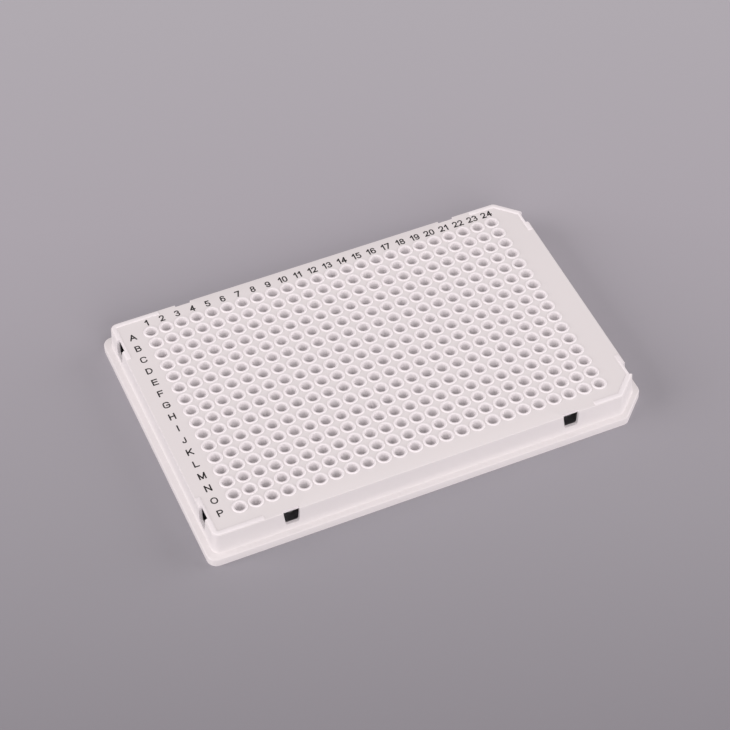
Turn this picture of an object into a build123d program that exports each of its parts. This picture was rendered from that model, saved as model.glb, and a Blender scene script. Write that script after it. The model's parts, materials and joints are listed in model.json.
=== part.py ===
# A 384-well PCR plate with a full skirt: one white polypropylene moulding.
#
# Frame: millimetres, +Z up, the base on Z = 0 and the middle of the well grid on the Z axis.
# Column 1 is at -X and row A at +Y, so well A1 is at the corner (-X, +Y). The corners at column 1
# are round and those at the last column are cut, as a key to the plate's way round.

from build123d import *

import os
from math import radians, tan

os.makedirs("parts", exist_ok=True)

# Footprint, deck and walls
plate_length = 127.76
plate_width = 85.48
deck_top = 9.25
deck_thickness = 0.8
wall = 0.7
edge_chamfer = 0.2
least_radius = 0.2

# Flange: the wider foot of the skirt
flange_height = 2.5
flange_wall = 1.1
flange_radius = 2.8
flange_cut = 7.7
flange_cut_radius = 2.0
flange_round = 0.4
ledge_long_side = 1.75
ledge_short_side = 1.9
ledge_fillet = 0.3

# Skirt wall above the flange: it leans inwards on its way up to the deck
wall_draft = 3.2
wall_radius = 2.4
wall_cut = 6.4
wall_cut_radius = 2.0

# Wells: a raised rim, a tapered bore and a thin tube that hangs under the deck.
# The deck keeps a margin round them for the row letters and the column numbers.
pitch = 4.5
letter_margin = 6.5
number_margin = 3.5
mouth_radius = 1.53
floor_radius = 0.7
well_wall = 0.3
well_floor = 0.4
well_clearance = 0.9
rim_height = 0.25
rim_width = 0.33
rim_slant = 0.19

# Low ridges that follow the deck's edge round each corner
ridge_height = 0.25
ridge_width = 1.3
ridge_inset = 0.25
ridge_draft = 30
ridge_length_x = 14.2
ridge_length_y = 14.0

# Windows at the top of the skirt, two to a side, each under a notch in the deck's edge
window_width = 4.5
window_foot_width = 3.7
window_height = 4.6
window_radius = 0.5
long_side_window_inset = 23.8
short_side_window_inset = 10.7
long_side_notch = 0.42
short_side_notch = 0.65

# Worked out from the sizes above
skirt_length = plate_length - 2 * ledge_short_side
skirt_width = plate_width - 2 * ledge_long_side
wall_rise = deck_top - flange_height
lean = wall_rise * tan(radians(wall_draft))
deck_length = skirt_length - 2 * lean
deck_width = skirt_width - 2 * lean
deck_radius = wall_radius - lean
deck_cut = wall_cut - lean * (2 - 2**0.5)
deck_cut_radius = wall_cut_radius - lean
deck_underside = deck_top - deck_thickness
deck_middle = deck_top - deck_thickness / 2
hollow_step = flange_height - flange_wall
window_reach = 2 * wall

columns = int((deck_length - 2 * letter_margin) / pitch)
rows = int((deck_width - 2 * number_margin) / pitch)
crest = deck_top + rim_height
bore_floor = well_clearance + well_floor
bore_slope = (mouth_radius - floor_radius) / (crest - bore_floor)
tube_foot_radius = floor_radius + well_wall
tube_top_radius = tube_foot_radius + bore_slope * (deck_middle - well_clearance)
rim_crest_radius = mouth_radius + rim_width
rim_root_radius = rim_crest_radius + rim_slant * (crest - deck_middle) / rim_height


# Plan views at the flange, at the skirt's foot and at the deck's top
flange_plan = (plate_length, plate_width, flange_radius, flange_cut, flange_cut_radius)
skirt_plan = (skirt_length, skirt_width, wall_radius, wall_cut, wall_cut_radius)
deck_plan = (deck_length, deck_width, deck_radius, deck_cut, deck_cut_radius)


def plan(length, width, radius, cut, cut_radius, inset=0):
    """One plan view, drawn in evenly: round corners at column 1, blunted cut ones at the last column."""
    with BuildSketch() as outline:
        Rectangle(length - 2 * inset, width - 2 * inset)
        fillet(outline.vertices().group_by(Axis.X)[0], radius - inset)
        chamfer(outline.vertices().group_by(Axis.X)[-1], cut - inset * (2 - 2**0.5))
        if cut_radius - inset > least_radius:
            cut_ends = outline.vertices().group_by(Axis.X)[-2:]
            fillet(cut_ends[0] + cut_ends[1], cut_radius - inset)
    return outline.sketch


def window_cutter(notch):
    """What one window takes away: a hole that narrows downwards, under a notch in the deck's edge.

    X runs along the wall, Y outwards from the deck's edge and Z upwards from the deck's top.
    """
    with BuildPart() as cutter:
        with BuildSketch(Plane.XZ) as opening:
            with BuildLine():
                Polyline(
                    (-window_width / 2, -deck_thickness),
                    (-window_foot_width / 2, -window_height),
                    (window_foot_width / 2, -window_height),
                    (window_width / 2, -deck_thickness),
                    close=True,
                )
            make_face()
            fillet(opening.vertices().group_by(Axis.Y)[0], window_radius)
        extrude(amount=window_reach, both=True)
        with BuildSketch(Plane.XY.offset(-deck_thickness)):
            with Locations((0, -notch)):
                Rectangle(window_width, notch + window_reach, align=(Align.CENTER, Align.MIN))
        extrude(amount=deck_thickness + 2 * ridge_height)
    return cutter.part


def turned(*side):
    """A solid turned about the Z axis, with flat ends, from its side's (radius, height) points."""
    foot, top = side[0], side[-1]
    with BuildPart() as solid:
        with BuildSketch(Plane.XZ):
            with BuildLine():
                Polyline((0, foot[1]), *side, (0, top[1]), close=True)
            make_face()
        revolve(axis=Axis.Z)
    return solid.part


# A well before it is bored: the tube's cone and the rim's cone meet in the middle of the deck
well_body = turned(
    (tube_foot_radius, well_clearance),
    (tube_top_radius, deck_middle),
    (rim_root_radius, deck_middle),
    (rim_crest_radius, crest),
)
well_bore = turned(
    (floor_radius, bore_floor),
    (mouth_radius, crest),
)

with BuildPart() as plate:
    # Flange and skirt, solid at first
    with BuildSketch():
        add(plan(*flange_plan))
    extrude(amount=flange_height)
    fillet(plate.faces().sort_by(Axis.Z)[-1].outer_wire().edges(), flange_round)
    with BuildSketch(Plane.XY.offset(flange_height)):
        add(plan(*skirt_plan))
    extrude(amount=wall_rise, taper=wall_draft)
    ledge = plate.faces().filter_by(Axis.Z).group_by(Axis.Z)[1][0]
    fillet(ledge.inner_wires().edges(), ledge_fillet)
    chamfer(plate.faces().sort_by(Axis.Z)[-1].outer_wire().edges(), edge_chamfer)

    # The hollow under the deck steps out inside the flange
    with BuildSketch():
        add(plan(*flange_plan, inset=flange_wall))
    extrude(amount=hollow_step, mode=Mode.SUBTRACT)
    with BuildSketch(Plane.XY.offset(hollow_step)):
        add(plan(*skirt_plan, inset=wall))
    extrude(amount=deck_underside - hollow_step, taper=wall_draft, mode=Mode.SUBTRACT)

    # Corner ridges: a band inside the deck's edge, kept only near the corners
    with BuildSketch(Plane.XY.offset(deck_top)):
        add(plan(*deck_plan, inset=ridge_inset))
        add(plan(*deck_plan, inset=ridge_inset + ridge_width), mode=Mode.SUBTRACT)
        Rectangle(deck_length - 2 * ridge_length_x, deck_width, mode=Mode.SUBTRACT)
        Rectangle(deck_length, deck_width - 2 * ridge_length_y, mode=Mode.SUBTRACT)
    extrude(amount=ridge_height, taper=ridge_draft)

    # Windows: the cutter's Y axis is turned outwards on each side
    long_side_x = plate_length / 2 - long_side_window_inset
    short_side_y = plate_width / 2 - short_side_window_inset
    for side, turn in ((1, 0), (-1, 180)):
        for along in (-1, 1):
            long_side_place = (along * long_side_x, side * deck_width / 2, deck_top)
            short_side_place = (side * deck_length / 2, along * short_side_y, deck_top)
            with Locations(Location(long_side_place, (0, 0, turn))):
                add(window_cutter(long_side_notch), mode=Mode.SUBTRACT)
            with Locations(Location(short_side_place, (0, 0, turn - 90))):
                add(window_cutter(short_side_notch), mode=Mode.SUBTRACT)

    # Wells
    with GridLocations(pitch, pitch, columns, rows):
        add(well_body)
    with GridLocations(pitch, pitch, columns, rows):
        add(well_bore, mode=Mode.SUBTRACT)

plate.part.label = "plate"
export_step(plate.part, "parts/plate.step")
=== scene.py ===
"""A 384-well PCR plate: one white polypropylene moulding with printed row letters and column numbers.

Run as a script. It builds the plate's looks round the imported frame, in metres, in the frame's own axes.
"""

import json
from dataclasses import dataclass
from math import atan2, cos, pi, radians, sin, sqrt, tan

import bmesh
import bpy
from bpy.props import FloatProperty, FloatVectorProperty, IntProperty, PointerProperty
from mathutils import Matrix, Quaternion, Vector

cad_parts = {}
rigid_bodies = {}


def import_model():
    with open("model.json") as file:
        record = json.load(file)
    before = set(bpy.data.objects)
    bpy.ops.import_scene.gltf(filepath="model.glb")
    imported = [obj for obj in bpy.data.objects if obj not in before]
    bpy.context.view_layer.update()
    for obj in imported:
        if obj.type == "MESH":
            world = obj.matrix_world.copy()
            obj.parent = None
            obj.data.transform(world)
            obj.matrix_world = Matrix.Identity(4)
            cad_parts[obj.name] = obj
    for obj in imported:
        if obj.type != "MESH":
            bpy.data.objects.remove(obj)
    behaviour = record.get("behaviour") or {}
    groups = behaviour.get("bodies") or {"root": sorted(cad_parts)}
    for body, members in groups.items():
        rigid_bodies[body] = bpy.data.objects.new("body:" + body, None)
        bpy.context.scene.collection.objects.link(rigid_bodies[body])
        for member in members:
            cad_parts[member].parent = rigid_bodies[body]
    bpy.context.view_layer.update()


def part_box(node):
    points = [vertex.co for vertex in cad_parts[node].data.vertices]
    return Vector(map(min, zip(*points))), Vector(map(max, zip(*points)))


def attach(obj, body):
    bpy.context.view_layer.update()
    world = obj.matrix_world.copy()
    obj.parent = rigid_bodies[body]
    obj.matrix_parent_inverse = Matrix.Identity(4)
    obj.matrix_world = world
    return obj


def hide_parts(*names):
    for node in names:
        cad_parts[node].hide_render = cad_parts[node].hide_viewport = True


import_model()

bl_info = {
    "name": "Well Plate Maker",
    "version": (1, 0, 0),
    "blender": (4, 5, 0),
    "location": "View3D > Sidebar > Well Plate",
    "description": "Models a 384-well plate, its printed labels and a plain studio",
    "category": "Add Mesh",
}

MM = 0.001
CAD_LOW, CAD_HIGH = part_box("plate")
FOOTPRINT = CAD_HIGH - CAD_LOW

# Points that are nearer to each other than this are one
WELD = 0.002 * MM

# The least part of a unit vector along an axis that it counts as parallel to
ALONG = 0.999

# The least radius at the ends of a cut corner
LEAST_RADIUS = 0.2 * MM

# Edges that turn less than this are shaded smooth
SMOOTH_BELOW = radians(38)

# A rim's outline from its foot to the well's mouth, as parts of its width and of its height
RIM_OUTLINE = ((0, 0), (0.16, 0.6), (0.36, 1), (0.75, 1), (1, 0.6))

# How high a ridge's sides stand, as a part of its height, and the two insets that round off the rest,
# each as parts of its width and of its height
RIDGE_SIDE = 0.35
RIDGE_INSETS = ((0.1, 0.45), (0.14, 0.2))

# Where the middle of the ledge's hollow fillet lies, as a part of its radius
FILLET_MIDDLE = 0.3

# Where the floor's four tones stand, from the nearest to the farthest: painted shade that darkens the floor
# towards the camera
FLOOR_STOPS = (0, 0.267, 0.64, 1)


# ---------------------------------------------------------------------------------------------
# Sizes and colours


def length_property(name, description, millimetres):
    """A size in millimetres, kept as a Blender length."""
    return FloatProperty(name=name, description=description, default=millimetres * MM, unit="LENGTH")


def angle_property(name, description, degrees):
    """An angle in degrees, kept as a Blender angle."""
    return FloatProperty(name=name, description=description, default=radians(degrees), subtype="ANGLE")


def colour_property(name, description, colour):
    """A colour in linear RGB."""
    return FloatVectorProperty(
        name=name, description=description, default=colour, size=3, min=0, max=1, subtype="COLOR"
    )


class BodySizes(bpy.types.PropertyGroup):
    """The flange, the skirt and the deck."""

    deck_top: length_property("Deck top", "Height of the deck's upper face", 9.25)
    deck_thickness: length_property("Deck thickness", "Thickness of the deck", 0.8)
    wall: length_property("Wall", "Thickness of the skirt", 0.85)
    wall_draft: angle_property("Wall draft", "Lean of the skirt", 3.2)
    wall_radius: length_property("Wall radius", "Radius of the skirt's round corners at its foot", 2.4)
    wall_cut: length_property("Wall cut", "Length cut off the skirt's other two corners", 6.4)
    wall_cut_radius: length_property("Wall cut, radius", "Radius at the ends of the skirt's cuts", 2.0)
    flange_height: length_property("Flange height", "Height of the flange", 2.5)
    flange_wall: length_property("Flange wall", "Thickness of the flange", 1.1)
    flange_radius: length_property("Flange radius", "Radius of the flange's round corners", 2.8)
    flange_cut: length_property("Flange cut", "Length cut off the flange's other two corners", 7.7)
    flange_cut_radius: length_property("Flange cut, radius", "Radius at the ends of the flange's cuts", 2.0)
    flange_round: length_property("Flange rounding", "Rounding of the flange's upper edge", 0.4)
    ledge_long_side: length_property("Ledge, long side", "Width of the flange's ledge", 1.75)
    ledge_short_side: length_property("Ledge, short side", "Width of the flange's ledge", 1.9)
    ledge_fillet: length_property("Ledge fillet", "Fillet between the ledge and the skirt", 0.3)
    edge_round: length_property("Edge rounding", "Rounding of the deck's edge", 0.2)
    arc_steps: IntProperty(name="Arc steps", description="Steps in a round corner", default=10)


class WellSizes(bpy.types.PropertyGroup):
    """The grid of wells, each with a raised rim, a tapered bore and a tube under the deck."""

    columns: IntProperty(name="Columns", description="Number of columns", default=24)
    rows: IntProperty(name="Rows", description="Number of rows", default=16)
    sides: IntProperty(name="Sides", description="Sides of one well, a multiple of 8", default=16)
    pitch: length_property("Pitch", "Distance from well to well", 4.5)
    rim_radius: length_property("Rim radius", "Radius of a rim at its foot", 2.15)
    rim_height: length_property("Rim height", "Height of a rim above the deck", 0.25)
    mouth_radius: length_property("Mouth radius", "Radius of a bore at its mouth", 1.53)
    floor_radius: length_property("Floor radius", "Radius of a bore at its floor", 0.7)
    well_wall: length_property("Well wall", "Thickness of a tube's wall", 0.3)
    well_floor: length_property("Well floor", "Thickness of a tube's floor", 0.4)
    clearance: length_property("Clearance", "Free height under the tubes", 0.9)
    flat_radius: length_property("Flat radius", "Radius of the flat middle of a bore's floor", 0.42)
    floor_chamfer: length_property("Floor chamfer", "Height of the slope round the flat middle", 0.25)
    foot_chamfer: length_property("Foot chamfer", "Chamfer round a tube's foot", 0.125)


class RidgeSizes(bpy.types.PropertyGroup):
    """The low ridges round the deck's corners."""

    height: length_property("Height", "Height of a ridge above the deck", 0.25)
    width: length_property("Width", "Width of a ridge at its foot", 1.3)
    inset: length_property("Inset", "Distance from the deck's edge", 0.25)
    length_x: length_property("Length along X", "Length of a ridge along the long side", 14.2)
    length_y: length_property("Length along Y", "Length of a ridge along the short side", 14.0)


class WindowSizes(bpy.types.PropertyGroup):
    """The windows at the top of the skirt, each under a notch in the deck's edge."""

    width: length_property("Width", "Width at the top", 4.5)
    foot_width: length_property("Foot width", "Width at the foot", 3.7)
    height: length_property("Height", "Depth of the foot below the deck's top", 4.6)
    corner: length_property("Corner", "Radius of the lower corners", 0.5)
    lip: length_property("Lip", "Height of the notch, a hair over the deck's thickness", 0.83)
    long_side_inset: length_property("Inset, long side", "Distance from the plate's end", 23.8)
    short_side_inset: length_property("Inset, short side", "Distance from the plate's side", 10.7)
    long_side_notch: length_property("Notch, long side", "Depth of the notch", 0.75)
    short_side_notch: length_property("Notch, short side", "Depth of the notch", 0.95)


class LabelSizes(bpy.types.PropertyGroup):
    """The printed row letters and column numbers."""

    height: length_property("Height", "Height of the pen's path through a capital", 1.85)
    stroke: length_property("Stroke", "Width of the pen's stroke", 0.38)
    spacing: length_property("Spacing", "Gap between two digits", 0.2)
    thickness: length_property("Thickness", "Thickness of the ink", 0.04)
    bend_steps: IntProperty(name="Bend steps", description="Steps in a round stroke", default=5)
    letters_x: length_property("Letters, X", "Where the row letters stand", -57.1)
    numbers_y: length_property("Numbers, Y", "Where the column numbers stand", 37.4)


class FinishColours(bpy.types.PropertyGroup):
    """The colours of the plastic, of the ink and of the studio. The plastic's lighter copy is painted light.
    """

    natural_dark: colour_property("Natural, darker", "Darker tone of thin plastic", (0.885, 0.867, 0.864))
    natural_light: colour_property("Natural, lighter", "Lighter tone of thin plastic", (0.915, 0.896, 0.893))
    # Painted light: a lighter copy of the plastic for the rims, bores, ridges and windows' cut faces. It
    # stands in for light glowing through the translucent plastic and for highlights.
    painted_lit_dark: colour_property("Lit, darker", "Darker tone of thick plastic", (0.98, 0.96, 0.97))
    painted_lit_light: colour_property("Lit, lighter", "Lighter tone of thick plastic", (0.998, 0.978, 0.988))
    ink_dark: colour_property("Ink, darker", "Darker tone of the ink", (0.006, 0.005, 0.005))
    ink_light: colour_property("Ink, lighter", "Lighter tone of the ink", (0.02, 0.017, 0.017))
    light: colour_property("Light", "Colour of all the lights", (1.0, 0.925, 0.938))
    # The floor's four tones: painted shade, darker towards the camera
    floor_nearest: colour_property("Floor, nearest", "Floor at the camera's foot", (0.299, 0.296, 0.323))
    floor_near: colour_property("Floor, near", "Floor before the plate", (0.387, 0.385, 0.417))
    floor_far: colour_property("Floor, far", "Floor behind the plate", (0.479, 0.472, 0.513))
    floor_farthest: colour_property("Floor, farthest", "Floor far behind", (0.517, 0.518, 0.553))


class StudioSizes(bpy.types.PropertyGroup):
    """The camera, the lights and the floor."""

    azimuth: angle_property("Azimuth", "Camera's bearing", -21.92)
    elevation: angle_property("Elevation", "Camera's height above the horizon", 47.784)
    roll: angle_property("Roll", "Camera's turn about its own axis", 1.764)
    distance: length_property("Distance", "Distance from the camera to its target", 655.41)
    target_x: length_property("Target, X", "Point that the camera looks at", -2.995)
    target_y: length_property("Target, Y", "Point that the camera looks at", -2.019)
    lens: FloatProperty(name="Lens", description="Focal length on a 36 mm sensor", default=119.28)
    sky: FloatProperty(name="Sky", description="Strength of the even light", default=0.43)
    softbox_height: angle_property("Softbox height", "Height over the horizon", 23)
    softbox_distance: length_property("Softbox distance", "Distance from the plate", 2400)
    softbox_size: length_property("Softbox size", "Side of a softbox", 1800)
    left_bearing: angle_property("Left bearing", "Where the left softbox stands", -100)
    front_bearing: angle_property("Front bearing", "Where the front softbox stands", 0)
    right_bearing: angle_property("Right bearing", "Where the right softbox stands", 80)
    left_power: FloatProperty(name="Left power", description="Watts of the left softbox", default=31.0)
    front_power: FloatProperty(name="Front power", description="Watts of the front softbox", default=23.4)
    right_power: FloatProperty(name="Right power", description="Watts of the right softbox", default=19.8)
    floor_side: length_property("Floor side", "Side of the floor", 6000)
    # Where the floor's painted shade is darkest and where it is lightest
    floor_near: length_property("Floor, near", "Where the floor is darkest, towards the camera", -130)
    floor_far: length_property("Floor, far", "Where the floor is lightest", 170)


# ---------------------------------------------------------------------------------------------
# Hand tools


def start_mesh(name):
    """Deselects everything and starts a new, empty mesh object in edit mode."""
    bpy.ops.object.select_all(action="DESELECT")
    bpy.ops.mesh.primitive_plane_add(size=1)
    piece = bpy.context.object
    piece.name = name
    bpy.ops.object.mode_set(mode="EDIT")
    bpy.ops.mesh.select_mode(type="VERT")
    bpy.ops.mesh.delete(type="VERT")
    return piece


def select_vertices(test):
    """Selects the vertices that pass the test, and the edges and faces that they make up."""
    mesh = bpy.context.edit_object.data
    shape = bmesh.from_edit_mesh(mesh)
    for vertex in shape.verts:
        vertex.select = test(vertex)
    shape.select_flush_mode()
    bmesh.update_edit_mesh(mesh)


def select_faces(test):
    """Selects the faces that pass the test."""
    mesh = bpy.context.edit_object.data
    shape = bmesh.from_edit_mesh(mesh)
    bpy.ops.mesh.select_mode(type="FACE")
    for face in shape.faces:
        face.select_set(test(face))
    bmesh.update_edit_mesh(mesh)


def select_edges(test):
    """Selects the edges that pass the test."""
    mesh = bpy.context.edit_object.data
    bpy.ops.mesh.select_all(action="DESELECT")
    bpy.ops.mesh.select_mode(type="EDGE")
    shape = bmesh.from_edit_mesh(mesh)
    for edge in shape.edges:
        edge.select_set(test(edge))
    bmesh.update_edit_mesh(mesh)


def assign_slot(slot):
    """Gives the selected faces the material in this slot, and makes the first slot active again."""
    piece = bpy.context.object
    piece.active_material_index = slot
    bpy.ops.object.material_slot_assign()
    piece.active_material_index = 0


def give_materials(piece, *materials):
    """Makes these the piece's only materials."""
    piece.data.materials.clear()
    for material in materials:
        piece.data.materials.append(material)


def join(pieces):
    """Joins the pieces into the first one."""
    bpy.ops.object.select_all(action="DESELECT")
    for piece in pieces:
        piece.select_set(True)
    bpy.context.view_layer.objects.active = pieces[0]
    bpy.ops.object.join()
    return pieces[0]


def apply_modifiers(piece):
    """Applies the piece's modifiers in order."""
    bpy.context.view_layer.objects.active = piece
    for modifier in list(piece.modifiers):
        bpy.ops.object.modifier_apply(modifier=modifier.name)


def cut_or_add(shell, tool, operation):
    """Cuts the tool from the shell, or adds it, and removes the tool."""
    modifier = shell.modifiers.new(operation.lower(), "BOOLEAN")
    modifier.operation = operation
    modifier.solver = "MANIFOLD"
    modifier.material_mode = "TRANSFER"
    modifier.object = tool
    apply_modifiers(shell)
    bpy.data.objects.remove(tool)


# ---------------------------------------------------------------------------------------------
# The shell: flange, skirt and deck


@dataclass
class Plan:
    """One plan view of the plate: two round corners at column 1 and two blunted cuts at column 24."""

    length: float
    width: float
    radius: float
    cut: float
    cut_radius: float

    def inset(self, distance):
        """The same outline, drawn in evenly."""
        return Plan(
            self.length - 2 * distance,
            self.width - 2 * distance,
            self.radius - distance,
            self.cut - distance * (2 - sqrt(2)),
            max(self.cut_radius - distance, LEAST_RADIUS),
        )


def add_outline(plan, height, steps, group):
    """Adds the plan's outline to the mesh being edited, as a closed loop in its own vertex group."""
    bpy.ops.mesh.primitive_plane_add(size=1, location=(0, 0, height))
    bpy.ops.transform.resize(value=(plan.length, plan.width, 1), center_override=(0, 0, height))
    select_vertices(lambda vertex: vertex.select and vertex.co.x > 0)
    bpy.ops.mesh.bevel(offset=plan.cut, segments=1, affect="VERTICES")
    blunted = plan.cut_radius * tan(pi / 8)
    bpy.ops.mesh.bevel(offset=blunted, segments=steps // 2, affect="VERTICES")
    bpy.ops.mesh.select_linked()
    select_vertices(lambda vertex: vertex.select and vertex.co.x < 0)
    bpy.ops.mesh.bevel(offset=plan.radius, segments=steps, affect="VERTICES")
    bpy.ops.mesh.select_linked()
    bpy.ops.object.vertex_group_add()
    bpy.context.edit_object.vertex_groups.active.name = group
    bpy.ops.object.vertex_group_assign()
    bpy.ops.mesh.delete(type="ONLY_FACE")


def select_outlines(*groups):
    """Selects only the outlines with these names."""
    bpy.ops.mesh.select_all(action="DESELECT")
    for group in groups:
        bpy.ops.object.vertex_group_set_active(group=group)
        bpy.ops.object.vertex_group_select()


def stack_outlines(levels, steps):
    """Adds the outlines in the order given, as (plan, height), and joins each to the next."""
    names = []
    for plan, height in levels:
        names.append(f"level_{len(bpy.context.edit_object.vertex_groups)}")
        add_outline(plan, height, steps, names[-1])
    heights = [height for _, height in levels]
    for i in range(len(levels) - 1):
        select_outlines(names[i], names[i + 1])
        if heights[i] == heights[i + 1]:
            bpy.ops.mesh.fill(use_beauty=True)
        else:
            bpy.ops.mesh.bridge_edge_loops()
    return names


def body_plans():
    """The plans of the flange, of the skirt at its foot and of the deck."""
    body = bpy.context.scene.body_sizes
    flange = Plan(
        FOOTPRINT.x, FOOTPRINT.y, body.flange_radius, body.flange_cut, body.flange_cut_radius
    )
    skirt = Plan(
        FOOTPRINT.x - 2 * body.ledge_short_side,
        FOOTPRINT.y - 2 * body.ledge_long_side,
        body.wall_radius,
        body.wall_cut,
        body.wall_cut_radius,
    )
    deck = skirt.inset((body.deck_top - body.flange_height) * tan(body.wall_draft))
    return flange, skirt, deck


def quarter_round(plan, inset, height, radius, steps=3):
    """Levels of a rounded upper edge, from the upright side to the flat top."""
    levels = []
    for step in range(steps + 1):
        angle = pi / 2 * step / steps
        levels.append((plan.inset(inset + radius * (1 - cos(angle))), height - radius * (1 - sin(angle))))
    return levels


def make_shell():
    """The flange, the skirt and a plain deck, as one closed solid that is hollow from below."""
    body = bpy.context.scene.body_sizes
    flange, skirt, _ = body_plans()

    def on_wall(height, inset=0):
        return skirt.inset((height - body.flange_height) * tan(body.wall_draft) + inset)

    fillet = body.ledge_fillet
    outside = [(flange, 0)]
    outside += quarter_round(flange, 0, body.flange_height, body.flange_round)
    outside += [
        (skirt.inset(-fillet), body.flange_height),
        (skirt.inset(-fillet * FILLET_MIDDLE), body.flange_height + fillet * FILLET_MIDDLE),
        (on_wall(body.flange_height + fillet), body.flange_height + fillet),
    ]
    wall_top = (body.deck_top - body.flange_height - body.edge_round) * tan(body.wall_draft)
    outside += quarter_round(skirt, wall_top, body.deck_top, body.edge_round)

    step = body.flange_height - body.flange_wall
    underside = body.deck_top - body.deck_thickness
    inside = [
        (flange.inset(body.flange_wall), 0),
        (flange.inset(body.flange_wall), step),
        (skirt.inset(body.wall), step),
        (skirt.inset(body.wall + (underside - step) * tan(body.wall_draft)), underside),
    ]
    shell = start_mesh("plate_moulding")
    outer = stack_outlines(outside, body.arc_steps)
    inner = stack_outlines(inside, body.arc_steps)
    select_outlines(outer[0], inner[0])
    bpy.ops.mesh.fill(use_beauty=True)
    for top in (outer[-1], inner[-1]):
        select_outlines(top)
        bpy.ops.mesh.edge_face_add()
    bpy.ops.mesh.select_all(action="SELECT")
    bpy.ops.mesh.normals_make_consistent(inside=False)
    bpy.ops.object.mode_set(mode="OBJECT")
    bpy.ops.object.vertex_group_remove(all=True)
    return shell


# ---------------------------------------------------------------------------------------------
# Ridges and windows


def make_ridges():
    """Four bent ridges, one at each corner of the deck, each a closed solid."""
    scene = bpy.context.scene
    body, ridge = scene.body_sizes, scene.ridge_sizes
    deck = body_plans()[2]
    sunk = ridge.height
    foot = body.deck_top - sunk
    end_x = deck.length / 2 - ridge.length_x
    end_y = deck.width / 2 - ridge.length_y
    ridges = start_mesh("ridges")
    stack_outlines(
        [(deck.inset(ridge.inset), foot), (deck.inset(ridge.inset + ridge.width), foot)], body.arc_steps
    )
    for x in (-end_x, end_x):
        bpy.ops.mesh.select_all(action="SELECT")
        bpy.ops.mesh.bisect(plane_co=(x, 0, foot), plane_no=(1, 0, 0))
    for y in (-end_y, end_y):
        bpy.ops.mesh.select_all(action="SELECT")
        bpy.ops.mesh.bisect(plane_co=(0, y, foot), plane_no=(0, 1, 0))
    select_faces(
        lambda face: abs(face.calc_center_median().x) < end_x or abs(face.calc_center_median().y) < end_y
    )
    bpy.ops.mesh.delete(type="FACE")
    select_faces(lambda face: face.normal.z < 0)
    bpy.ops.mesh.flip_normals()
    bpy.ops.mesh.select_all(action="SELECT")
    bpy.ops.mesh.dissolve_limited(angle_limit=radians(1))
    side = sunk + ridge.height * RIDGE_SIDE
    bpy.ops.mesh.extrude_region_move(TRANSFORM_OT_translate={"value": (0, 0, side)})
    for across, up in RIDGE_INSETS:
        bpy.ops.mesh.inset(thickness=ridge.width * across, depth=ridge.height * up)
    bpy.ops.mesh.select_all(action="SELECT")
    bpy.ops.mesh.normals_make_consistent(inside=False)
    bpy.ops.object.mode_set(mode="OBJECT")
    bpy.ops.object.vertex_group_remove(all=True)
    return ridges


def runs_outwards(edge):
    """True if the edge runs along Y."""
    start, end = (vertex.co for vertex in edge.verts)
    return abs((end - start).normalized().y) > ALONG


def make_window_cutter(along, across, turn, notch):
    """What one window takes away: its hole, which narrows downwards, and the notch above it.

    It is modelled at the origin, with Y outwards from the deck's edge, and then turned and put in place.
    It reaches past the wall on both sides and past the ridges upwards.
    """
    scene = bpy.context.scene
    body, ridge, window = scene.body_sizes, scene.ridge_sizes, scene.window_sizes
    reach = 2 * body.wall
    low = body.deck_top - window.height
    high = body.deck_top - window.lip
    centre = Vector((0, 0, (low + high) / 2))
    cutter = start_mesh("window_cutter")
    bpy.ops.mesh.primitive_cube_add(size=1, location=centre)
    bpy.ops.transform.resize(value=(window.width, 2 * reach, high - low), center_override=centre)
    select_vertices(lambda vertex: vertex.co.z < centre.z)
    bpy.ops.transform.resize(value=(window.foot_width / window.width, 1, 1), center_override=(0, 0, low))
    select_edges(lambda edge: all(v.co.z < centre.z for v in edge.verts) and runs_outwards(edge))
    bpy.ops.mesh.bevel(offset=window.corner, segments=4, affect="EDGES")
    bpy.ops.mesh.select_all(action="SELECT")
    bpy.ops.mesh.bisect(plane_co=(0, -notch, 0), plane_no=(0, 1, 0))
    select_faces(lambda face: face.normal.z > ALONG and face.calc_center_median().y > -notch)
    top = body.deck_top + 2 * ridge.height
    bpy.ops.mesh.extrude_region_move(TRANSFORM_OT_translate={"value": (0, 0, top - high)})
    bpy.ops.object.mode_set(mode="OBJECT")
    cutter.rotation_euler.z = turn
    cutter.location = (along, across, 0)
    bpy.ops.object.transform_apply(location=True, rotation=True, scale=True)
    return cutter


def make_window_cutters():
    """The cutters of all eight windows, as one object."""
    window = bpy.context.scene.window_sizes
    deck = body_plans()[2]
    long_x = FOOTPRINT.x / 2 - window.long_side_inset
    short_y = FOOTPRINT.y / 2 - window.short_side_inset
    cutters = []
    for side, turn in ((1, 0), (-1, pi)):
        for along in (1, -1):
            cutters.append(
                make_window_cutter(along * long_x, side * deck.width / 2, turn, window.long_side_notch)
            )
            cutters.append(
                make_window_cutter(
                    side * deck.length / 2, along * short_y, turn - pi / 2, window.short_side_notch
                )
            )
    return join(cutters)


# ---------------------------------------------------------------------------------------------
# The wells


def shrink_loop(centre, radius, rise, new_radius):
    """Extrudes the selected loop upwards by the rise and resizes it to the new radius."""
    bpy.ops.mesh.extrude_edges_move(TRANSFORM_OT_translate={"value": (0, 0, rise)})
    factor = new_radius / radius
    bpy.ops.transform.resize(value=(factor, factor, 1), center_override=centre)


def turn_profile(centre, profile, sides):
    """Makes a round form from its (radius, height) points, and closes it at the last one."""
    radius, height = profile[0]
    bpy.ops.mesh.primitive_circle_add(
        vertices=sides, radius=radius, location=(centre.x, centre.y, height), fill_type="NOTHING"
    )
    for new_radius, new_height in profile[1:]:
        shrink_loop(centre, radius, new_height - height, new_radius)
        radius, height = new_radius, new_height
    bpy.ops.mesh.edge_face_add()


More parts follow.
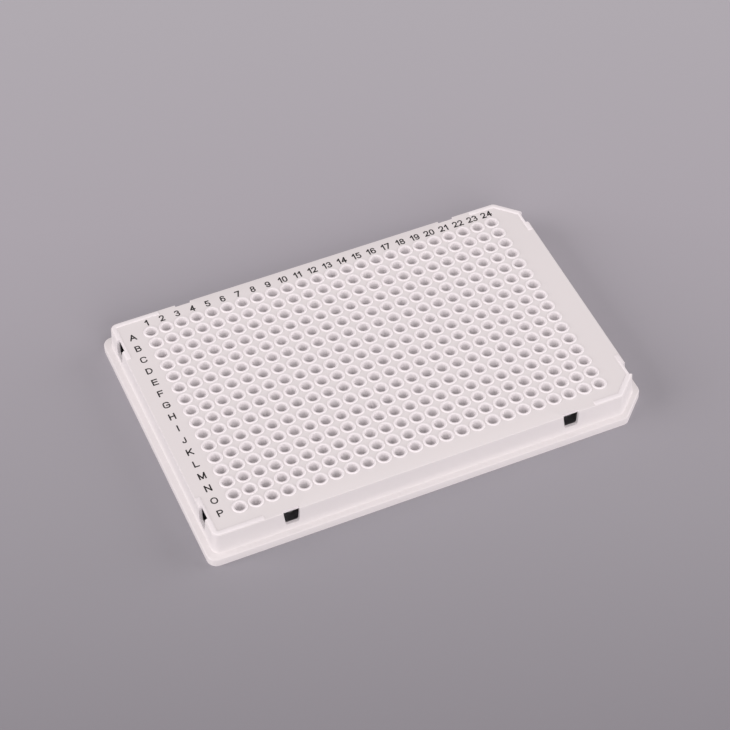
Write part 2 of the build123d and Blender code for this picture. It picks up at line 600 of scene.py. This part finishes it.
def square_off(centre, radius, height, half):
    """Widens the loop at this radius and height into the square edge of its cell."""
    level = Vector((centre.x, centre.y, height))
    select_vertices(
        lambda vertex: abs((vertex.co - level).length - radius) < WELD and abs(vertex.co.z - height) < WELD
    )
    shrink_loop(centre, radius, 0, half * sqrt(2))
    for x, y in ((1, 0), (-1, 0), (0, 1), (0, -1)):
        edge = Vector((centre.x + x * half, centre.y + y * half, height))
        outwards = Vector((x, y, 0))
        select_vertices(
            lambda vertex: abs(vertex.co.z - height) < WELD and (vertex.co - edge).dot(outwards) > -WELD
        )
        bpy.ops.transform.resize(value=(1 - abs(x), 1 - abs(y), 1), center_override=edge)


def make_wells(natural, lit):
    """The grid of wells with the deck between them: one cell is modelled, then repeated.

    The rim and the bore get the second material, a lighter copy of the plastic that is painted light; the
    deck and the tube get the first.
    """
    scene = bpy.context.scene
    body, well = scene.body_sizes, scene.well_sizes
    deck, under = body.deck_top, body.deck_top - body.deck_thickness
    crest = deck + well.rim_height
    bore_floor = well.clearance + well.well_floor
    slope = (well.mouth_radius - well.floor_radius) / (crest - bore_floor)
    rim_width = well.rim_radius - well.mouth_radius
    tube_foot = well.floor_radius + well.well_wall
    tube_top = tube_foot + slope * (under - well.clearance)
    upper = [
        (well.rim_radius - rim_width * across, deck + well.rim_height * up) for across, up in RIM_OUTLINE
    ]
    upper += [(well.floor_radius, bore_floor + well.floor_chamfer), (well.flat_radius, bore_floor)]
    lower = (
        (tube_top, under),
        (tube_foot, well.clearance + well.foot_chamfer),
        (tube_foot - well.foot_chamfer, well.clearance),
    )
    first = Vector((-(well.columns - 1) / 2 * well.pitch, -(well.rows - 1) / 2 * well.pitch, 0))
    wells = start_mesh("wells")
    give_materials(wells, natural, lit)
    turn_profile(first, upper, well.sides)
    bpy.ops.mesh.select_all(action="SELECT")
    assign_slot(1)
    square_off(first, well.rim_radius, deck, well.pitch / 2)
    select_faces(lambda face: abs(face.calc_center_median().z - deck) < WELD)
    assign_slot(0)
    bpy.ops.mesh.select_mode(type="VERT")
    turn_profile(first, lower, well.sides)
    square_off(first, tube_top, under, well.pitch / 2)
    bpy.ops.object.mode_set(mode="OBJECT")
    for axis, count in ((0, well.columns), (1, well.rows)):
        row = wells.modifiers.new("repeat", "ARRAY")
        row.count = count
        row.use_relative_offset = False
        row.use_constant_offset = True
        row.constant_offset_displace = [well.pitch if i == axis else 0 for i in range(3)]
    apply_modifiers(wells)
    return wells


def set_in_wells(shell, wells):
    """Opens the plain deck of the shell, sets the wells in and fills the margins round them."""
    body = bpy.context.scene.body_sizes
    levels = (body.deck_top, body.deck_top - body.deck_thickness)
    bpy.ops.object.select_all(action="DESELECT")
    bpy.context.view_layer.objects.active = shell
    bpy.ops.object.mode_set(mode="EDIT")
    for level in levels:
        select_faces(
            lambda face: abs(face.normal.z) > ALONG and abs(face.calc_center_median().z - level) < WELD
        )
        bpy.ops.mesh.delete(type="FACE")
    bpy.ops.object.mode_set(mode="OBJECT")
    join([shell, wells])
    bpy.ops.object.mode_set(mode="EDIT")
    bpy.ops.mesh.select_mode(type="VERT")
    bpy.ops.mesh.select_all(action="SELECT")
    bpy.ops.mesh.remove_doubles(threshold=WELD)
    for level in levels:
        select_edges(
            lambda edge: edge.is_boundary and all(abs(v.co.z - level) < WELD for v in edge.verts)
        )
        bpy.ops.mesh.fill(use_beauty=True)
    bpy.ops.mesh.select_mode(type="VERT")
    bpy.ops.mesh.select_all(action="SELECT")
    bpy.ops.mesh.normals_make_consistent(inside=False)
    bpy.ops.object.mode_set(mode="OBJECT")


# ---------------------------------------------------------------------------------------------
# Printed labels


def line(*points):
    """A pen stroke with sharp corners."""
    return False, points


def bend(*points):
    """A pen stroke whose corners are as round as its sides allow."""
    return True, points


# The pen's path through each glyph, in cap heights
GLYPHS = {
    "A": [line((0, 0), (0.44, 1), (0.88, 0)), line((0.15, 0.33), (0.73, 0.33))],
    "B": [
        line((0, 0), (0, 1)),
        bend((0, 1), (0.64, 1), (0.64, 0.54), (0, 0.54)),
        bend((0, 0.54), (0.72, 0.54), (0.72, 0), (0, 0)),
    ],
    "C": [bend((0.82, 0.68), (0.82, 1), (0, 1), (0, 0), (0.82, 0), (0.82, 0.32))],
    "D": [line((0, 0), (0, 1)), bend((0, 1), (0.78, 1), (0.78, 0), (0, 0))],
    "E": [line((0.7, 1), (0, 1), (0, 0), (0.7, 0)), line((0, 0.53), (0.64, 0.53))],
    "F": [line((0.66, 1), (0, 1), (0, 0)), line((0, 0.5), (0.57, 0.5))],
    "G": [
        bend((0.83, 0.7), (0.83, 1), (0, 1), (0, 0), (0.85, 0), (0.85, 0.3)),
        line((0.46, 0.46), (0.85, 0.46), (0.85, 0.14)),
    ],
    "H": [line((0, 0), (0, 1)), line((0.76, 0), (0.76, 1)), line((0, 0.53), (0.76, 0.53))],
    "I": [line((0, 0), (0, 1))],
    "J": [bend((0.46, 1), (0.46, 0), (0, 0), (0, 0.32))],
    "K": [line((0, 0), (0, 1)), line((0.74, 1), (0, 0.32)), line((0.27, 0.57), (0.78, 0))],
    "L": [line((0, 1), (0, 0), (0.6, 0))],
    "M": [line((0, 0), (0, 1), (0.44, 0.05), (0.88, 1), (0.88, 0))],
    "N": [line((0, 0), (0, 1), (0.76, 0), (0.76, 1))],
    "O": [bend((0, 0), (0.88, 0), (0.88, 1), (0, 1), (0, 0))],
    "P": [line((0, 0), (0, 1)), bend((0, 1), (0.7, 1), (0.7, 0.45), (0, 0.45))],
    "0": [bend((0, 0), (0.56, 0), (0.56, 1), (0, 1), (0, 0))],
    "1": [line((0, 0.74), (0.28, 1), (0.28, 0))],
    "2": [bend((0, 0.7), (0, 1), (0.56, 1), (0.56, 0.54), (0, 0)), line((0, 0), (0.58, 0))],
    "3": [
        bend((0, 0.76), (0, 1), (0.54, 1), (0.54, 0.53), (0.2, 0.53)),
        bend((0.2, 0.53), (0.58, 0.53), (0.58, 0), (0, 0), (0, 0.25)),
    ],
    "4": [line((0.44, 0), (0.44, 1), (0, 0.3), (0.62, 0.3))],
    "5": [
        line((0.52, 1), (0.09, 1), (0.04, 0.6)),
        bend((0.04, 0.6), (0.58, 0.6), (0.58, 0), (0, 0), (0, 0.26)),
    ],
    "6": [
        bend((0, 0), (0.58, 0), (0.58, 0.62), (0, 0.62), (0, 0)),
        bend((0, 0.31), (0, 1), (0.56, 1), (0.56, 0.76)),
    ],
    "7": [line((0, 1), (0.58, 1), (0.2, 0))],
    "8": [
        bend((0.03, 0.53), (0.55, 0.53), (0.55, 1), (0.03, 1), (0.03, 0.53)),
        bend((0, 0), (0.58, 0), (0.58, 0.53), (0, 0.53), (0, 0)),
    ],
    "9": [
        bend((0, 0.38), (0.58, 0.38), (0.58, 1), (0, 1), (0, 0.38)),
        bend((0.58, 0.69), (0.58, 0), (0.02, 0), (0.02, 0.24)),
    ],
}


def draw_bar(start, end):
    """A straight stroke of the pen, as a bar with square ends."""
    stroke = bpy.context.scene.label_sizes.stroke
    run = end - start
    bpy.ops.object.select_all(action="DESELECT")
    bpy.ops.mesh.primitive_cube_add(size=1)
    bar = bpy.context.object
    bar.scale = (run.length + stroke, stroke, stroke)
    bar.rotation_euler.z = atan2(run.y, run.x)
    bar.location = (start + end) / 2
    bpy.ops.object.transform_apply(location=True, rotation=True, scale=True)
    return bar


def draw_bend(path):
    """A round stroke of the pen, as a tube whose path has its corners rounded."""
    label = bpy.context.scene.label_sizes
    start_mesh("stroke")
    bpy.ops.mesh.primitive_plane_add(size=label.stroke, location=path[0])
    bpy.ops.mesh.merge(type="CENTER")
    for start, end in zip(path, path[1:]):
        bpy.ops.mesh.extrude_vertices_move(TRANSFORM_OT_translate={"value": end - start})
    bpy.ops.mesh.select_all(action="SELECT")
    bpy.ops.mesh.remove_doubles(threshold=WELD)
    select_vertices(lambda vertex: len(vertex.link_edges) == 2)
    bpy.ops.mesh.bevel(offset=label.height, segments=label.bend_steps, affect="VERTICES", clamp_overlap=True)
    bpy.ops.object.mode_set(mode="OBJECT")
    bpy.ops.object.convert(target="CURVE")
    pen = bpy.context.object.data
    pen.twist_mode = "Z_UP"
    pen.bevel_depth = label.stroke / 2
    pen.bevel_resolution = 1
    pen.use_fill_caps = True
    bpy.ops.object.convert(target="MESH")
    return bpy.context.object


def draw_glyph(character):
    """A glyph at the origin: its strokes, pressed flat to the thickness of the ink."""
    label = bpy.context.scene.label_sizes
    strokes = []
    for rounded, points in GLYPHS[character]:
        path = [Vector((x, y, 0)) * label.height for x, y in points]
        if rounded:
            strokes.append(draw_bend(path))
        else:
            strokes += [draw_bar(start, end) for start, end in zip(path, path[1:])]
    glyph = join(strokes)
    glyph.name = f"glyph_{character}"
    bpy.ops.object.mode_set(mode="EDIT")
    bpy.ops.mesh.select_all(action="SELECT")
    bpy.ops.transform.resize(value=(1, 1, label.thickness / label.stroke), center_override=(0, 0, 0))
    bpy.ops.mesh.remove_doubles(threshold=WELD)
    bpy.ops.mesh.normals_make_consistent(inside=False)
    bpy.ops.object.mode_set(mode="OBJECT")
    return glyph


def print_text(glyphs, text, x, y):
    """Copies of the glyphs in a row, centred on the point (x, y) of the deck's top."""
    label = bpy.context.scene.label_sizes
    deck_top = bpy.context.scene.body_sizes.deck_top
    widths = [glyphs[character].dimensions.x for character in text]
    pen_x = x - (sum(widths) + label.spacing * (len(text) - 1)) / 2
    copies = []
    for character, width in zip(text, widths):
        bpy.ops.object.select_all(action="DESELECT")
        glyphs[character].select_set(True)
        bpy.context.view_layer.objects.active = glyphs[character]
        bpy.ops.object.duplicate()
        low = glyphs[character].bound_box[0][0]
        bpy.context.object.location = (pen_x - low, y - label.height / 2, deck_top)
        bpy.ops.object.transform_apply(location=True, rotation=True, scale=True)
        copies.append(bpy.context.object)
        pen_x += width + label.spacing
    return copies


def column_x(column):
    """The X of a column of wells, counted from 0."""
    well = bpy.context.scene.well_sizes
    return (column - (well.columns - 1) / 2) * well.pitch


def row_y(row):
    """The Y of a row of wells, counted from 0 at row A."""
    well = bpy.context.scene.well_sizes
    return ((well.rows - 1) / 2 - row) * well.pitch


# ---------------------------------------------------------------------------------------------
# Materials


def new_group(name, inputs, outputs):
    """An empty shader node group of plain number sockets, the inputs with their defaults."""
    group = bpy.data.node_groups.new(name, "ShaderNodeTree")
    for socket_name, default in inputs.items():
        socket = group.interface.new_socket(socket_name, in_out="INPUT", socket_type="NodeSocketFloat")
        socket.default_value = default
    for socket_name in outputs:
        group.interface.new_socket(socket_name, in_out="OUTPUT", socket_type="NodeSocketFloat")
    return group, group.nodes.new("NodeGroupInput"), group.nodes.new("NodeGroupOutput")


def place(tree, kind, settings=None, links=None):
    """Adds a node, sets its named sockets and properties, and links its inputs."""
    node = tree.nodes.new(kind)
    for key, value in (settings or {}).items():
        if key in node.inputs:
            node.inputs[key].default_value = value
        else:
            setattr(node, key, value)
    for key, source in (links or {}).items():
        tree.links.new(source, node.inputs[key])
    return node


def grain_group():
    """Mould grain: a fine height field, and a slow drift from 0 to 1 across the piece."""
    if "mould_grain" in bpy.data.node_groups:
        return bpy.data.node_groups["mould_grain"]
    group, inside, outside = new_group(
        "mould_grain", inputs={"Grain Scale": 2600.0, "Drift Scale": 28.0}, outputs=("Height", "Drift")
    )
    where = place(group, "ShaderNodeTexCoord").outputs["Object"]
    grain = place(
        group,
        "ShaderNodeTexNoise",
        {"Detail": 3.0, "Roughness": 0.6},
        {"Vector": where, "Scale": inside.outputs["Grain Scale"]},
    )
    drift = place(
        group,
        "ShaderNodeTexNoise",
        {"Detail": 2.0, "Roughness": 0.5},
        {"Vector": where, "Scale": inside.outputs["Drift Scale"]},
    )
    group.links.new(grain.outputs["Fac"], outside.inputs["Height"])
    group.links.new(drift.outputs["Fac"], outside.inputs["Drift"])
    return group


def make_plastic(name, dark, light, roughness, bump, spread=0.05):
    """A moulded or printed finish: two close tones that drift into each other, under a fine grain.

    The grain spreads the roughness to both sides.
    """
    material = bpy.data.materials.new(name)
    material.use_nodes = True
    tree = material.node_tree
    surface = tree.nodes["Principled BSDF"]
    effect = place(tree, "ShaderNodeGroup", {"node_tree": grain_group()})
    tone = place(tree, "ShaderNodeValToRGB", links={"Fac": effect.outputs["Drift"]})
    tone.color_ramp.elements[0].color = (*dark, 1)
    tone.color_ramp.elements[1].color = (*light, 1)
    tree.links.new(tone.outputs["Color"], surface.inputs["Base Color"])
    gloss = place(
        tree,
        "ShaderNodeMapRange",
        {"To Min": roughness - spread, "To Max": roughness + spread},
        {"Value": effect.outputs["Height"]},
    )
    tree.links.new(gloss.outputs["Result"], surface.inputs["Roughness"])
    bumps = place(
        tree,
        "ShaderNodeBump",
        {"Strength": 0.3, "Distance": bump},
        {"Height": effect.outputs["Height"]},
    )
    tree.links.new(bumps.outputs["Normal"], surface.inputs["Normal"])
    surface.inputs["IOR"].default_value = 1.49
    return material


def make_paper():
    """Matt grey paper with a faint mottle, whose colour is painted darker towards the camera: painted shade
    for the light's falloff.
    """
    colours = bpy.context.scene.finish_colours
    studio = bpy.context.scene.studio_sizes
    paper = bpy.data.materials.new("studio_paper")
    paper.use_nodes = True
    tree = paper.node_tree
    surface = tree.nodes["Principled BSDF"]
    where = place(tree, "ShaderNodeTexCoord").outputs["Object"]
    # Painted shade: the floor's colour darkens along the camera's bearing, towards the camera
    along = place(tree, "ShaderNodeMapping", {"Rotation": (0, 0, -studio.azimuth)}, {"Vector": where})
    split = place(tree, "ShaderNodeSeparateXYZ", links={"Vector": along.outputs["Vector"]})
    reach = place(
        tree,
        "ShaderNodeMapRange",
        {"From Min": studio.floor_near, "From Max": studio.floor_far},
        {"Value": split.outputs["Y"]},
    )
    ramp = place(tree, "ShaderNodeValToRGB", links={"Fac": reach.outputs["Result"]})
    stops = ramp.color_ramp.elements
    for position in FLOOR_STOPS[1:-1]:
        stops.new(position)
    tones = (colours.floor_nearest, colours.floor_near, colours.floor_far, colours.floor_farthest)
    for stop, tone in zip(stops, tones):
        stop.color = (*tone, 1)
    tree.links.new(ramp.outputs["Color"], surface.inputs["Base Color"])
    mottle = place(tree, "ShaderNodeTexNoise", {"Scale": 900.0, "Detail": 3.0}, {"Vector": where})
    bumps = place(
        tree, "ShaderNodeBump", {"Strength": 0.1, "Distance": 0.05 * MM}, {"Height": mottle.outputs["Fac"]}
    )
    tree.links.new(bumps.outputs["Normal"], surface.inputs["Normal"])
    surface.inputs["Roughness"].default_value = 0.8
    surface.inputs["Specular IOR Level"].default_value = 0.2
    return paper


# ---------------------------------------------------------------------------------------------
# The studio: floor, lights and camera


def make_floor():
    """A wide, flat sheet of paper under the plate."""
    bpy.ops.object.select_all(action="DESELECT")
    side = bpy.context.scene.studio_sizes.floor_side
    bpy.ops.mesh.primitive_grid_add(x_subdivisions=24, y_subdivisions=24, size=side)
    floor = bpy.context.object
    floor.name = "studio_floor"
    give_materials(floor, make_paper())


def add_softbox(name, bearing, power):
    """A wide square light that faces the plate, from its bearing and low over the horizon."""
    studio = bpy.context.scene.studio_sizes
    low, out = sin(studio.softbox_height), cos(studio.softbox_height)
    towards = Vector((sin(bearing) * out, -cos(bearing) * out, low))
    bpy.ops.object.light_add(type="AREA", location=towards * studio.softbox_distance)
    softbox = bpy.context.object
    softbox.name = name
    softbox.data.size = studio.softbox_size
    softbox.data.energy = power
    softbox.data.color = bpy.context.scene.finish_colours.light
    softbox.rotation_euler = (-towards).to_track_quat("-Z", "Y").to_euler()


def make_lights():
    """An even light from all round and three wide, low softboxes: left, in front and right."""
    studio = bpy.context.scene.studio_sizes
    world = bpy.data.worlds.new("studio_light")
    world.use_nodes = True
    background = world.node_tree.nodes["Background"]
    background.inputs["Color"].default_value = (*bpy.context.scene.finish_colours.light, 1)
    background.inputs["Strength"].default_value = studio.sky
    bpy.context.scene.world = world
    add_softbox("softbox_left", studio.left_bearing, studio.left_power)
    add_softbox("softbox_front", studio.front_bearing, studio.front_power)
    add_softbox("softbox_right", studio.right_bearing, studio.right_power)


def make_camera():
    """The camera, at its bearing and height round its target on the wells' upper plane."""
    studio = bpy.context.scene.studio_sizes
    around, above = studio.azimuth, studio.elevation
    back = Vector((sin(around) * cos(above), -cos(around) * cos(above), sin(above)))
    target = Vector((studio.target_x, studio.target_y, CAD_HIGH.z))
    bpy.ops.object.camera_add(location=target + back * studio.distance)
    camera = bpy.context.object
    camera.name = "studio_camera"
    camera.rotation_mode = "QUATERNION"
    facing = (-back).to_track_quat("-Z", "Y")
    camera.rotation_quaternion = facing @ Quaternion((0, 0, 1), -studio.roll)
    camera.data.lens = studio.lens
    camera.data.clip_start = 0.01
    camera.data.clip_end = 20
    bpy.context.scene.camera = camera


# ---------------------------------------------------------------------------------------------
# Operators


class PLATE_OT_moulding(bpy.types.Operator):
    """Models the plate's moulding: skirt, flange, deck, ridges, windows and wells"""

    bl_idname = "plate.moulding"
    bl_label = "Make Moulding"
    bl_options = {"REGISTER", "UNDO"}

    def execute(self, context):
        colours = context.scene.finish_colours
        finish = {"roughness": 0.42, "bump": 0.02 * MM}
        natural = make_plastic("polypropylene_natural", colours.natural_dark, colours.natural_light, **finish)
        # A lighter copy of the same plastic, painted light: it stands in for light glowing through the
        # plastic and for highlights
        lit = make_plastic("polypropylene_painted_lit", colours.painted_lit_dark, colours.painted_lit_light, **finish)
        shell = make_shell()
        give_materials(shell, natural)
        # The ridges and the windows' cut faces take the painted-light copy of the plastic
        for tool, operation in ((make_ridges(), "UNION"), (make_window_cutters(), "DIFFERENCE")):
            give_materials(tool, lit)
            cut_or_add(shell, tool, operation)
        set_in_wells(shell, make_wells(natural, lit))
        bpy.ops.object.shade_smooth_by_angle(angle=SMOOTH_BELOW)
        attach(shell, "root")
        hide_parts("plate")
        return {"FINISHED"}


class PLATE_OT_labels(bpy.types.Operator):
    """Prints the row letters and the column numbers on the deck"""

    bl_idname = "plate.labels"
    bl_label = "Print Labels"
    bl_options = {"REGISTER", "UNDO"}

    def execute(self, context):
        well = context.scene.well_sizes
        label = context.scene.label_sizes
        colours = context.scene.finish_colours
        glyphs = {character: draw_glyph(character) for character in GLYPHS}
        letters, numbers = [], []
        for row in range(well.rows):
            letters += print_text(glyphs, chr(ord("A") + row), label.letters_x, row_y(row))
        for column in range(well.columns):
            numbers += print_text(glyphs, str(column + 1), column_x(column), label.numbers_y)
        for glyph in glyphs.values():
            bpy.data.objects.remove(glyph)
        ink = make_plastic(
            "printed_ink", colours.ink_dark, colours.ink_light, roughness=0.5, bump=0.01 * MM
        )
        for name, copies in (("row_letters", letters), ("column_numbers", numbers)):
            labels = join(copies)
            labels.name = name
            give_materials(labels, ink)
            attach(labels, "root")
        return {"FINISHED"}


class PLATE_OT_studio(bpy.types.Operator):
    """Sets up a plain floor, soft lights, the camera and a plain view of the colours"""

    bl_idname = "plate.studio"
    bl_label = "Set Up Studio"
    bl_options = {"REGISTER", "UNDO"}

    def execute(self, context):
        make_floor()
        make_lights()
        make_camera()
        context.scene.view_settings.view_transform = "Standard"
        return {"FINISHED"}


class PLATE_PT_panel(bpy.types.Panel):
    """The plate's sizes and its three steps"""

    bl_idname = "PLATE_PT_panel"
    bl_label = "Well Plate"
    bl_space_type = "VIEW_3D"
    bl_region_type = "UI"
    bl_category = "Well Plate"

    def draw(self, context):
        for name in PROPERTY_GROUPS:
            box = self.layout.box()
            box.label(text=name.replace("_", " ").capitalize())
            group = getattr(context.scene, name)
            for field in PROPERTY_GROUPS[name].__annotations__:
                box.prop(group, field)
        for operator in OPERATORS:
            self.layout.operator(operator.bl_idname)


PROPERTY_GROUPS = {
    "body_sizes": BodySizes,
    "well_sizes": WellSizes,
    "ridge_sizes": RidgeSizes,
    "window_sizes": WindowSizes,
    "label_sizes": LabelSizes,
    "finish_colours": FinishColours,
    "studio_sizes": StudioSizes,
}
OPERATORS = (PLATE_OT_moulding, PLATE_OT_labels, PLATE_OT_studio)


def register():
    """Registers the classes and hangs the sizes on the scene."""
    for name, group in PROPERTY_GROUPS.items():
        bpy.utils.register_class(group)
        setattr(bpy.types.Scene, name, PointerProperty(type=group))
    for operator in OPERATORS:
        bpy.utils.register_class(operator)
    bpy.utils.register_class(PLATE_PT_panel)


def unregister():
    """Undoes register."""
    bpy.utils.unregister_class(PLATE_PT_panel)
    for operator in reversed(OPERATORS):
        bpy.utils.unregister_class(operator)
    for name, group in reversed(PROPERTY_GROUPS.items()):
        delattr(bpy.types.Scene, name)
        bpy.utils.unregister_class(group)


def main():
    """Builds the plate and the studio."""
    register()
    bpy.ops.plate.moulding()
    bpy.ops.plate.labels()
    bpy.ops.plate.studio()


if __name__ == "__main__":
    main()
